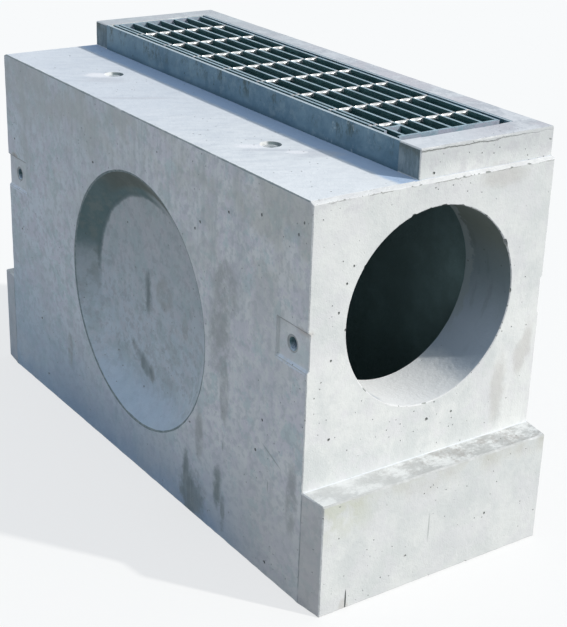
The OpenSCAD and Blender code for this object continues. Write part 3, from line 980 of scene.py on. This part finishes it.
def relief(bm, face, along, across, depth, scale):
    """Splits a long four-sided face into cells and sinks their inner corners unevenly."""
    point, normal = face.calc_center_median(), face.normal.copy()
    sides = sorted(face.edges, key=lambda e: e.calc_length())
    way = (sides[0].verts[0].co - sides[0].verts[1].co).normalized()
    bmesh.ops.subdivide_edges(bm, edges=sides[2:], cuts=along - 1)
    bm.normal_update()
    rungs = set()
    for strip in in_plane(bm, point, normal):
        for edge in strip.edges:
            if abs((edge.verts[0].co - edge.verts[1].co).normalized().dot(way)) > 0.99:
                rungs.add(edge)
    bmesh.ops.subdivide_edges(bm, edges=list(rungs), cuts=across - 1)
    bm.normal_update()
    cells = set(in_plane(bm, point, normal))
    for vert in {v for f in cells for v in f.verts}:
        if all(f in cells for f in vert.link_faces):
            dip = 0.5 + 0.5 * noise.fractal(vert.co * scale, 0.7, 2.0, 3)
            vert.co -= normal * depth * min(1, max(0, dip))


def casting_body():
    """The box with its end feet, before anything is cut out of it."""
    bm = bmesh.new()
    chamfer_x, chamfer_z = HALF_L - END_CHAMFER, DECK - STRIP_DROP
    right = [
        (HALF_L, 0),
        (FOOT_X, 0),
        (FOOT_X, FOOT_TOP - FOOT_WASH),
        (HALF_L, FOOT_TOP),
        (HALF_L, chamfer_z),
        (chamfer_x, DECK),
    ]
    points = right + [(-x, z) for x, z in reversed(right)]
    front, back = [], []
    for x, z in points:
        y = HALF_W - (FOOT_DRAFT if abs(x) > HALF_L + TINY else 0)
        front.append(bm.verts.new((x, -y, z)))
        back.append(bm.verts.new((x, y, z)))
    bands = []
    for i in range(len(points)):
        j = (i + 1) % len(points)
        bands.append(bm.faces.new((front[i], front[j], back[j], back[i])))
    for row in (front, back):
        bm.faces.new((row[0], row[1], row[2], row[3]))
        bm.faces.new((row[8], row[9], row[10], row[11]))
        bm.faces.new([row[i] for i in (11, 0, 3, 4, 5, 6, 7, 8)])
    bmesh.ops.recalc_face_normals(bm, faces=bm.faces)
    bm.normal_update()
    tops = [f for f in bands if f.normal.z > 0.99]
    for face in tops:
        if face.calc_center_median().z > CEILING:
            relief(bm, face, along=70, across=32, depth=0.0006, scale=16.0)
        else:
            relief(bm, face, along=40, across=5, depth=0.0016, scale=45.0)
    return new_object("casting", bm)


def collar_block():
    bm = bmesh.new()
    outline = [
        (-COLLAR_X, COLLAR_Y),
        (WELL_FAR, COLLAR_Y),
        (WELL_FAR, COLLAR_BACK_LOW.y),
        (WELL_NEAR, COLLAR_BACK_LOW.y),
        (WELL_NEAR, COLLAR_Y),
        (COLLAR_X, COLLAR_Y),
        (COLLAR_X, HALF_W),
        (-COLLAR_X, HALF_W),
    ]
    add_prism(bm, outline, DECK - OVER, TOP, "z")
    return new_object("collar", bm)


def cut(target, add):
    """Takes out of the target what add draws into a bmesh."""
    bm = bmesh.new()
    add(bm)
    boolean(target, new_object("cutter", bm), "DIFFERENCE")


def sump(bm):
    add_box(bm, (-INNER_X, -INNER_Y, BASE_T), (INNER_X, INNER_Y, CEILING))


def throat(bm):
    add_box(bm, (-INNER_X, SLAB_LOW.y, CEILING - OVER), (INNER_X, SLAB_HIGH.y, DECK + OVER))


def rail_beds(bm):
    for low, high in ((RAIL_LOW, RAIL_HIGH), (BACK_RAIL_LOW, BACK_RAIL_HIGH)):
        add_box(bm, low, (high.x, high.y, TOP + OVER))


def pipe_holes(bm):
    reach = FOOT_X + OVER
    add_cone(bm, (-reach, 0, HOLE_Z), (reach, 0, HOLE_Z), HOLE_R, HOLE_R, segments=128)


def recesses(bm):
    """Dishes whose sides are steepest at the rim and run smoothly into the floor."""
    steps, segments, curve = 9, 144, 1.5
    for side in (-1, 1):
        turn = Vector((0, side, 0)).to_track_quat("Z", "Y")
        rings = []
        for i in range(steps + 1):
            share = i / steps
            depth = RECESS_DEPTH * (1 - share**curve)
            centre = Vector((0, side * (HALF_W - depth), RECESS_Z))
            rings.append(ring(bm, centre, turn, RECESS_R - RECESS_SLOPE * (1 - share), segments))
        rim = RECESS_R + OVER * curve * RECESS_DEPTH / RECESS_SLOPE
        rings.append(ring(bm, Vector((0, side * (HALF_W + OVER), RECESS_Z)), turn, rim, segments))
        close_tube(bm, rings)


def pockets(bm):
    face = POCKET_H / 2 + POCKET_SLOPE * OVER / POCKET_DEPTH
    floor = POCKET_H / 2 - POCKET_SLOPE
    for side in (-1, 1):
        outline = [
            (side * (HALF_W + OVER), POCKET_Z - face),
            (side * (HALF_W + OVER), POCKET_Z + face),
            (side * (HALF_W - POCKET_DEPTH), POCKET_Z + floor),
            (side * (HALF_W - POCKET_DEPTH), POCKET_Z - floor),
        ]
        for end in (-1, 1):
            add_prism(bm, outline, end * (HALF_L - POCKET_L), end * (HALF_L + OVER), "x")


def socket_place(name):
    """(mouth, the way it faces, outer radius, length) of a cast-in socket."""
    low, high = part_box(name)
    way = SOCKETS[name][0]
    size = high - low
    length = abs(size.dot(way))
    return (low + high) / 2 + way * length / 2, way, (sum(size) - length) / 4, length


PLACES = {name: socket_place(name) for name in SOCKETS}


def socket_holes(bm):
    for mouth, way, radius, length in PLACES.values():
        add_cone(bm, mouth - way * length, mouth + way * OVER, radius, radius, segments=48)


def craters(bm):
    for name in ("near_lift_socket", "far_lift_socket"):
        mouth, way, radius, _ = PLACES[name]
        floor = radius + CRATER_FLOOR
        reach = CRATER_DEPTH + OVER
        rim = floor + CRATER_WALL * reach / CRATER_DEPTH
        add_cone(bm, mouth, mouth + way * reach, floor, rim, segments=64)


def foot_seams(bm):
    """The form's joint where each foot starts, a hairline down the long walls."""
    depth, slant = 0.0009, 0.8
    reach = slant * (OVER + depth)
    for end in (-1, 1):
        for side in (-1, 1):
            x, out = end * HALF_L, side * (HALF_W + OVER)
            outline = [(x - reach, out), (x, side * (HALF_W - depth)), (x + reach, out)]
            add_prism(bm, outline, -OVER, FOOT_TOP - 0.008, "z")


def from_axis(co, centre, keep):
    """Distance of a point from a line through centre along the axis that keep leaves out."""
    return math.hypot(*[co[i] - centre[i] for i in keep])


def near_box(co, low, high, reach):
    """Whether a point is inside a box that is made larger by reach on every side."""
    return all(low[i] - reach < co[i] < high[i] + reach for i in range(3))


def arris_width(edge):
    """How wide the worn arris along an edge is; 0 where the edge stays as cut."""
    if not edge.is_manifold or not edge.is_convex or edge.calc_face_angle() < math.radians(12):
        return 0
    mid = (edge.verts[0].co + edge.verts[1].co) / 2
    out_x, out_y = abs(mid.x), abs(mid.y)
    in_bore = from_axis(mid, (0, 0, HOLE_Z), (1, 2)) < HOLE_R + NEAR
    if in_bore and abs(out_x - INNER_X) < NEAR:
        return ARRISES["bore's inner end"]
    if near_box(mid, (-INNER_X, -INNER_Y, BASE_T), (INNER_X, INNER_Y, DECK), NEAR):
        return 0
    if near_box(mid, RAIL_LOW, RAIL_HIGH, NEAR) or near_box(mid, BACK_RAIL_LOW, BACK_RAIL_HIGH, NEAR):
        return 0
    for mouth, way, radius, _ in PLACES.values():
        away = (mid - mouth).length
        if away < radius + NEAR:
            return 0
        if away < radius + 0.008 and way.z:
            return ARRISES["crater"]
    if in_bore:
        return ARRISES["bore"]
    if from_axis(mid, (0, 0, RECESS_Z), (0, 2)) < RECESS_R + NEAR:
        return ARRISES["recess"]
    by_pocket = abs(mid.z - POCKET_Z) < POCKET_H / 2 + 0.006 and out_x > HALF_L - POCKET_L - NEAR
    if by_pocket and out_y > HALF_W - POCKET_DEPTH - NEAR:
        return ARRISES["pocket"]
    if out_x > HALF_L - END_CHAMFER - NEAR and DECK - STRIP_DROP - NEAR < mid.z < DECK + NEAR:
        at_collar = mid.y > COLLAR_Y - LEDGE and mid.z > DECK - TINY
        return 0 if mid.y > HALF_W - NEAR or at_collar else ARRISES["end strip"]
    if abs(out_x - HALF_L) < NEAR and mid.z < FOOT_TOP:
        return 0
    if mid.z < NEAR:
        return ARRISES["underside"]
    if out_x > FOOT_X - NEAR and mid.z > FOOT_TOP - 0.004:
        return ARRISES["foot"]
    return ARRISES["elsewhere"]


def split_long_edges(bm):
    """Extra points along the edges that get an arris, so that it can be uneven."""
    for edge in list(bm.edges):
        if arris_width(edge):
            point = edge.verts[0]
            for left in range(int(edge.calc_length() / LONGEST_EDGE), 0, -1):
                point = bmesh.utils.edge_split(edge, point, 1 / (left + 1))[1]


def weight_arrises(bm):
    """Passes each edge's arris on to the bevel, as a share of its full width."""
    layer = bm.edges.layers.float.new("bevel_weight_edge")
    for edge in bm.edges:
        edge[layer] = arris_width(edge) / BEVEL_WIDTH


def roughen_arrises(bm):
    """Moves the arrises' points by a smooth noise, so that no arris is a straight line."""
    moves = {}
    for vert in bm.verts:
        worn = [f for f in vert.link_faces if f.material_index == ARRIS]
        flat = [f for f in vert.link_faces if f.material_index != ARRIS]
        # The narrow ledge at the foot of the collar's end would fold over itself
        on_ledge = abs(vert.co.z - DECK) < TINY and vert.co.y > COLLAR_Y - LEDGE
        if not worn or on_ledge:
            continue
        shift = noise.noise(vert.co * 70) + 0.5 * noise.noise(vert.co * 190)
        if not flat:
            moves[vert] = -vert.normal * ROUGH * (0.5 + 0.5 * shift)
        elif all(f.normal.dot(flat[0].normal) > 0.9995 for f in flat):
            out = vert.normal - flat[0].normal * vert.normal.dot(flat[0].normal)
            if out.length > 0.05:
                moves[vert] = -out.normalized() * ROUGH * max(-0.5, shift)
    for vert, move in moves.items():
        vert.co += move


def mark_faces(bm):
    """Gives the sump's faces, the pipe holes' faces and the rough end strips their materials."""
    sump_box = (-INNER_X, -INNER_Y, BASE_T), (INNER_X, INNER_Y, CEILING)
    throat_box = (-INNER_X, SLAB_LOW.y, CEILING), (INNER_X, SLAB_HIGH.y, DECK)
    for face in bm.faces:
        mid = face.calc_center_median()
        in_throat = abs(face.normal.z) < 0.5 and near_box(mid, *throat_box, TINY)
        in_bore = abs(face.normal.x) < 0.5 and abs(mid.x) > INNER_X
        if in_throat or near_box(mid, *sump_box, TINY):
            face.material_index = INSIDE
        elif in_bore and from_axis(mid, (0, 0, HOLE_Z), (1, 2)) < HOLE_R:
            face.material_index = BORE
        elif DECK - STRIP_DROP < mid.z < DECK and abs(mid.x) > HALF_L - END_CHAMFER:
            face.material_index = ARRIS


def place(verts):
    """Where the middle of some points is, rounded so that it can be compared."""
    middle = sum((vert.co for vert in verts), Vector()) / len(verts)
    return tuple(round(value, 5) for value in middle)


def sort_parts(bm):
    """Puts points, edges and faces in an order that doesn't depend on the computer's threads."""
    for parts in (bm.verts, bm.edges, bm.faces):
        places = [(place(getattr(part, "verts", [part])), part) for part in parts]
        places.sort(key=lambda row: row[0])
        rank = {part: i for i, (_, part) in enumerate(places)}
        parts.sort(key=lambda part: rank[part])


def close_slivers(bm):
    """Fills the slivers that booleans drop."""
    bmesh.ops.holes_fill(bm, edges=[e for e in bm.edges if e.is_boundary])


def keep_in_box(bm):
    """Puts every point that has left the CAD model's box back onto it."""
    for vert in bm.verts:
        for i in range(3):
            vert.co[i] = min(max(vert.co[i], cad_box[0][i]), cad_box[1][i])


def join_faces(bm):
    """Joins the flat faces that booleans have split."""
    limit = math.radians(0.02)
    bmesh.ops.dissolve_limit(bm, angle_limit=limit, verts=bm.verts, edges=bm.edges, delimit={"NORMAL"})


def edit(obj, *steps):
    """Runs steps that each change a bmesh on an object's mesh."""
    bm = bmesh.new()
    bm.from_mesh(obj.data)
    for step in steps:
        step(bm)
        bm.normal_update()
    bm.to_mesh(obj.data)
    bm.free()


class Cuts:
    """Uneven lumps to cut out of the casting, none of them touching another."""

    def __init__(self, seed):
        self.bm = bmesh.new()
        self.random = random.Random(seed)
        self.placed = []

    def add(self, centre, radii, turn):
        reach = 1.25 * max(radii)
        if any((centre - other).length < reach + far for other, far in self.placed):
            return
        self.placed.append((centre, reach))
        detail = 2 if reach > 0.0022 else 1
        add_lump(self.bm, centre, radii, turn, len(self.placed), detail, BROKEN)

    def scars(self):
        """The marks that the casting shows in known places: one notch and the larger pits."""
        still = Matrix.Identity(3)
        self.add(Vector((FOOT_X, -0.171, 0.014)), (0.0016, 0.0016, 0.020), still)
        on_end = ((-0.161, 0.510), (-0.173, 0.468), (-0.183, 0.396), (-0.160, 0.439), (-0.150, 0.535))
        for y, z in on_end:
            self.add(Vector((HALF_L, y, z)), (0.0020, 0.0020, 0.0022), still)
        on_front = ((0.377, 0.586), (0.209, 0.524), (0.194, 0.509), (0.290, 0.564))
        for x, z in on_front + ((0.469, 0.585), (0.392, 0.265)):
            self.add(Vector((x, -HALF_W, z)), (0.0022, 0.0022, 0.0026), still)

    def chip(self, point, way, out, size):
        """A chip on an arris: way runs along it, and out points away from the concrete."""
        length = size * self.random.uniform(0.8, 2.6)
        out = out.normalized()
        turn = Matrix((way.normalized(), out, way.normalized().cross(out))).transposed().to_quaternion()
        centre = point + out * size * self.random.uniform(0.15, 0.5)
        self.add(centre, (length, size, size * self.random.uniform(0.8, 1.3)), turn)

    def chips(self, start, end, out, count, size):
        """Chips at random places along a straight arris, most of them small."""
        start, end = Vector(start), Vector(end)
        for _ in range(count):
            big = size * (0.35 + 0.65 * self.random.random() ** 3)
            self.chip(start.lerp(end, self.random.random()), end - start, Vector(out), big)

    def rim_chips(self, centre, axis, radius, low, high, count, size):
        """Chips along a stretch of a round arris, between two angles in degrees."""
        axis = Vector(axis)
        turn = axis.to_track_quat("Z", "Y")
        for _ in range(count):
            angle = math.radians(self.random.uniform(low, high))
            out = turn @ Vector((math.cos(angle), math.sin(angle), 0))
            big = size * (0.35 + 0.65 * self.random.random() ** 2)
            self.chip(Vector(centre) + out * radius, axis.cross(out), axis - out, big)

    def bug_holes(self, mesh, count):
        """Small round holes in the outer faces, most on the ends and none underneath."""
        mesh.calc_loop_triangles()
        triangles, weights = [], []
        for tri in mesh.loop_triangles:
            if tri.material_index not in (SKIN, BORE) or tri.normal.z < -0.5:
                continue
            triangles.append(tri)
            share = 2.2 if abs(tri.normal.x) > 0.9 else 0.25 if tri.normal.z > 0.9 else 1.0
            weights.append(tri.area * share)
        for tri in self.random.choices(triangles, weights, k=count):
            a, b, c = (mesh.vertices[i].co for i in tri.vertices)
            u, v = sorted((self.random.random(), self.random.random()))
            point = a * u + b * (v - u) + c * (1 - v)
            r = 0.0007 + 0.0023 * self.random.random() ** 4
            normal = tri.normal.copy()
            turn = normal.to_track_quat("Z", "Y")
            radii = (r, r * self.random.uniform(0.7, 1.1), r * self.random.uniform(0.9, 1.3))
            self.add(point + normal * r * 0.15, radii, turn)


def volume(mesh):
    """The volume that a closed mesh holds."""
    bm = bmesh.new()
    bm.from_mesh(mesh)
    size = bm.calc_volume()
    bm.free()
    return size


def wear(casting):
    """Chips on the arrises and bug holes in the faces; a cut that goes wrong isn't kept."""
    cuts = Cuts(11)
    cuts.scars()
    y0, y1 = -HALF_W, HALF_W
    low, wide, seat = DECK - STRIP_DROP, HALF_W - FOOT_DRAFT, 0.06
    for end in (1, -1):
        many = 1 if end > 0 else 0.6
        face, foot = end * HALF_L, end * FOOT_X
        strip, collar = end * (HALF_L - END_CHAMFER), end * COLLAR_X
        # Each stretch: where it starts and stops, the way out of the concrete, how many and how big
        for start, stop, out, count, size in (
            ((face, y0, low), (face, y1, low), (end, 0, 0.6), 60, 0.0030),
            ((strip, y0, DECK), (strip, COLLAR_Y - 0.02, DECK), (end, 0, 2), 8, 0.0016),
            ((face, y0, FOOT_TOP), (face, y0, low), (end, -1, 0), 12, 0.0024),
            ((face, y1, FOOT_TOP), (face, y1, low), (end, 1, 0), 10, 0.0024),
            ((collar, COLLAR_Y, TOP), (collar, seat, TOP), (end, 0, 1), 12, 0.0026),
            ((collar, seat, TOP), (collar, y1, TOP), (end, 0, 1), 7, 0.0020),
            ((collar, COLLAR_Y, DECK), (collar, COLLAR_Y, TOP), (end, -1, 0), 5, 0.0022),
            ((foot, -wide, FOOT_TOP), (foot, wide, FOOT_TOP), (end, 0, 1), 18, 0.0030),
            ((foot, -wide, 0), (foot, -wide, FOOT_TOP), (end, -1, 0), 8, 0.0026),
            ((foot, wide, 0), (foot, wide, FOOT_TOP), (end, 1, 0), 8, 0.0026),
            ((foot, -wide, 0), (foot, wide, 0), (end, 0, -1), 12, 0.0034),
        ):
            cuts.chips(start, stop, out, int(count * many), size)
        # Each stretch of the pipe hole's rim: its two angles, how many and how big
        for start, stop, count, size in (
            (28, 152, 34, 0.0048),
            (152, 388, 26, 0.0028),
            (-60, 28, 30, 0.0034),
        ):
            rim = (face, 0, HOLE_Z)
            cuts.rim_chips(rim, (end, 0, 0), HOLE_R, start, stop, int(count * many), size)
        cuts.rim_chips((end * INNER_X, 0, HOLE_Z), (-end, 0, 0), HOLE_R, 0, 360, 12, 0.0044)
    for side in (-1, 1):
        y = side * HALF_W
        cuts.chips((-HALF_L, y, DECK), (HALF_L, y, DECK), (0, side, 1), 16 if side < 0 else 4, 0.0022)
        cuts.chips((-HALF_L, y, 0), (HALF_L, y, 0), (0, side, -1), 14, 0.0034)
        cuts.rim_chips((0, y, RECESS_Z), (0, side, 0), RECESS_R, 0, 360, 14, 0.0018)
    cuts.chips((-COLLAR_X, HALF_W, TOP), (COLLAR_X, HALF_W, TOP), (0, 1, 1), 20, 0.0026)
    cuts.bug_holes(casting.data, BUG_HOLES)
    plain, least_left = casting.data, 0.98
    boolean(casting, new_object("chips", cuts.bm), "DIFFERENCE")
    if volume(casting.data) < least_left * volume(plain):
        casting.data = plain


def make_casting():
    casting = casting_body()
    boolean(casting, collar_block(), "UNION")
    hollows = (sump, throat, rail_beds, pipe_holes, recesses, pockets, socket_holes, craters)
    for add in hollows + (foot_seams,):
        cut(casting, add)
    for make in (concrete_skin, worn_arris, broken_concrete, sump_concrete, bore_concrete):
        casting.data.materials.append(make())
    edit(casting, sort_parts, close_slivers, join_faces, mark_faces, split_long_edges, weight_arrises)
    bevel = casting.modifiers.new("arrises", "BEVEL")
    bevel.limit_method = "WEIGHT"
    bevel.width = BEVEL_WIDTH
    bevel.segments = 2
    bevel.material = ARRIS
    bevel.use_clamp_overlap = False
    apply_modifiers(casting)
    edit(casting, sort_parts, roughen_arrises)
    wear(casting)
    edit(casting, close_slivers, keep_in_box)
    smooth(casting, 12)
    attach(casting, ROOT)
    subparts = frame["record"]["subparts"]
    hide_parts(*[s["node"] for s in subparts if s["material_slot"] == "concrete"])


# ---- Cast-in sockets ----


def make_socket(name, outside, inside):
    """A closed steel socket with a countersunk mouth and its thread cut as a real helix."""
    mouth, way, radius, length = PLACES[name]
    _, bore, pitch = SOCKETS[name]
    turn = way.to_track_quat("Z", "Y")
    segments, rim, sink, base = 40, 0.0006, 0.0014, 0.004
    groove = 0.54 * pitch
    bottom = length - base
    bm = bmesh.new()

    def at(depth, r):
        return ring(bm, mouth - way * depth, turn, r, segments)

    def thread(depth):
        """The bore's radius round a ring: a V thread from its major radius inward."""

        def r(angle):
            share = (depth / pitch + angle / (2 * math.pi)) % 1.0
            return bore - groove * (1 - abs(2 * share - 1))

        return r

    rings = [at(length, radius - rim), at(length - rim, radius), at(rim, radius), at(0, radius - rim)]
    rings.append(at(0, bore + sink))
    steps = int((bottom - 2 * sink) / (pitch / 6))
    for i in range(steps + 1):
        depth = sink + (bottom - 2 * sink) * i / steps
        rings.append(at(depth, thread(depth)))
    rings += [at(bottom - sink, bore - groove), at(bottom, (bore - groove) * 0.9)]
    close_tube(bm, rings)
    for face in bm.faces:
        middle = face.calc_center_median() - mouth
        depth = -middle.dot(way)
        if TINY < depth < bottom + TINY and (middle + way * depth).length < bore + TINY:
            face.material_index = 1
    socket = new_object("threaded_" + name, bm)
    socket.data.materials.append(outside)
    socket.data.materials.append(inside)
    smooth(socket, 30)
    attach(socket, ROOT)
    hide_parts(name)


# ---- Frame and grating ----


def dress(node, material, width):
    """Gives a CAD node its material and a rounded edge."""
    obj = frame["nodes"][node]
    for place in obj.material_slots:
        place.link = "OBJECT"
        place.material = material
    bevel = obj.modifiers.new("edges", "BEVEL")
    bevel.width = width
    bevel.segments = 2
    bevel.limit_method = "ANGLE"
    bevel.angle_limit = math.radians(30)
    bevel.harden_normals = True


def named(start):
    return sorted(name for name in frame["nodes"] if name.startswith(start))


def add_twisted_rod(bm, low, high, pitch, start):
    """A square rod along Y that makes a quarter turn over each pitch; its corners just fit the box."""
    step, blunt = 0.0015, math.radians(7)
    radius = (high.z - low.z) / 2
    middle = (low + high) / 2
    steps = int((high.y - low.y) / step)
    rings = []
    for i in range(steps + 1):
        y = low.y + (high.y - low.y) * i / steps
        twist = math.radians(start) + math.pi / 2 * (y - low.y) / pitch
        row = []
        for corner in range(4):
            for side in (-1, 1):
                angle = twist + math.pi / 2 * corner + blunt * side
                x = middle.x + radius * math.cos(angle)
                row.append(bm.verts.new((x, y, middle.z + radius * math.sin(angle))))
        rings.append(row)
    close_tube(bm, rings)


def make_rods(material):
    """The twisted rods, welded through the bars: one mesh, with a plug of weld in every slot."""
    bars = [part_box(name) for name in named("bearing_bar") + ["front_side_bar", "back_side_bar"]]
    pitch = bars[1][0].y - bars[0][0].y
    crown, dome, round_off = TOP - 0.0003, 0.001, 0.0012
    rods = bmesh.new()
    plugs = bmesh.new()
    for name in named("cross_rod"):
        low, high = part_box(name)
        add_twisted_rod(rods, low, high, pitch, start=20)
        for bar_low, bar_high in bars:
            if high.x < bar_high.x:
                outline = [(low.x, low.z), (high.x, low.z), (high.x, crown - dome)]
                outline += [(high.x - round_off, crown), (low.x + round_off, crown)]
                outline.append((low.x, crown - dome))
                add_prism(plugs, outline, bar_low.y + TINY / 2, bar_high.y - TINY / 2, "y")
    obj = new_object("twisted_cross_rods", rods)
    boolean(obj, new_object("plugs", plugs), "UNION")
    obj.data.materials.append(material)
    smooth(obj, 25)
    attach(obj, GRATING)
    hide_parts(*named("cross_rod"))


def make_weld_beads(material):
    """A lumpy bead down each side of every bar where it meets an end bar."""
    bm = bmesh.new()
    count, beside, middle, radii = 0, 0.0020, TOP - 0.019, (0.0026, 0.0026, 0.014)
    x0, x1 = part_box("far_end_bar")[1].x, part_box("near_end_bar")[0].x
    for name in named("bearing_bar") + ["back_side_bar"]:
        low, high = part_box(name)
        y = (low.y + high.y) / 2
        for x in (x0, x1):
            for side in (-1, 1):
                count += 1
                centre = Vector((x, y + side * beside, middle))
                add_lump(bm, centre, radii, Matrix.Identity(3), count)
    beads = new_object("weld_beads", bm)
    beads.data.materials.append(material)
    smooth(beads, 60)
    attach(beads, GRATING)


def make_steel():
    bars = bar_steel()
    rod_steel = galvanised("rod_steel", (0.76, 0.78, 0.79), 0.65, 0.28)
    socket_zinc = galvanised("socket_zinc", (0.50, 0.52, 0.53), 0.1, 0.6)
    thread_zinc = thread_steel()
    rail_steel = frame_steel()
    for node in ("front_rail", "back_rail"):
        dress(node, rail_steel, 0.0009)
    for node in named("bearing_bar") + ["front_side_bar", "back_side_bar"]:
        dress(node, bars, 0.0006)
    for node in ("near_end_bar", "far_end_bar", "lock_plate"):
        dress(node, bars, 0.0008)
    make_rods(rod_steel)
    make_weld_beads(bars)
    for name in SOCKETS:
        make_socket(name, socket_zinc, thread_zinc)


make_camera()
make_lamps()
make_floor()
make_casting()
make_steel()

SCENE.view_settings.view_transform = "Standard"
